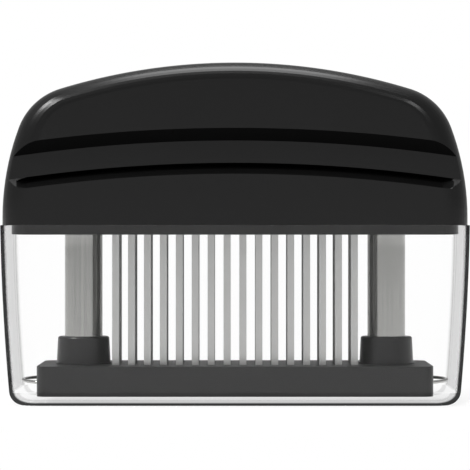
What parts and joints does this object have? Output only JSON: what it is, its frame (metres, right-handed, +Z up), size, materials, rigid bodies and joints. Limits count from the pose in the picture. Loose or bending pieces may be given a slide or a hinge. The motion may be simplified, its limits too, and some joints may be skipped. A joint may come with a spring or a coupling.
{
  "type": "blade meat tenderizer",
  "caption": "Hand-held meat tenderizer: an arched handle carries rows of narrow steel blades, and a sprung guard on hollow columns hides their tips. It stands in a clear tray-shaped cover.",
  "frame": {"origin": "centre of the clear cover's underside, on the surface that the tool stands on", "axes": "+X along the handle to the right, +Y towards the back, +Z up from the cover's floor to the handle"},
  "size_m": [0.1466, 0.0458, 0.1069],
  "materials": {
    "clear_plastic": "clear moulded polystyrene, glossy",
    "handle_black": "black moulded ABS, satin gloss",
    "guard_grey": "charcoal moulded plastic, satin",
    "cartridge_black": "black moulded plastic, matt",
    "bush_white": "natural acetal, smooth",
    "blade_steel": "stainless strip, fine ground",
    "column_steel": "stainless tube, drawn and brushed",
    "steel_bright": "turned stainless steel",
    "wire_steel": "bright stainless spring wire"
  },
  "bodies": {
    "cover": {"clear_cover": "clear_plastic"},
    "handle": {"handle_shell": "handle_black", "handle_plate": "guard_grey", "plate_screws": "steel_bright", "guide_bush_left": "bush_white", "guide_bush_right": "bush_white", "spring_post_left": "steel_bright", "spring_post_right": "steel_bright", "cartridge_front": "cartridge_black", "cartridge_middle": "cartridge_black", "cartridge_rear": "cartridge_black", "blades_front": "blade_steel", "blades_middle": "blade_steel", "blades_rear": "blade_steel", "spring_left": "wire_steel", "spring_right": "wire_steel"},
    "guard": {"guard_base": "guard_grey", "column_left": "column_steel", "column_right": "column_steel", "column_stop_left": "steel_bright", "column_stop_right": "steel_bright", "column_foot_left": "steel_bright", "column_foot_right": "steel_bright", "retaining_clip_left": "wire_steel", "retaining_clip_right": "wire_steel"}
  },
  "joints": [
    {"name": "lift_out", "type": "slide", "parent": "cover", "child": "handle", "axis": [0, 0, 1], "range_m": [0, 0.115]},
    {"name": "guard_slide", "type": "slide", "parent": "handle", "child": "guard", "axis": [0, 0, 1], "range_m": [0, 0.03], "stiffness_N_per_m": 600, "springref_m": -0.017, "deforming": ["spring_left", "spring_right"]}
  ]
}
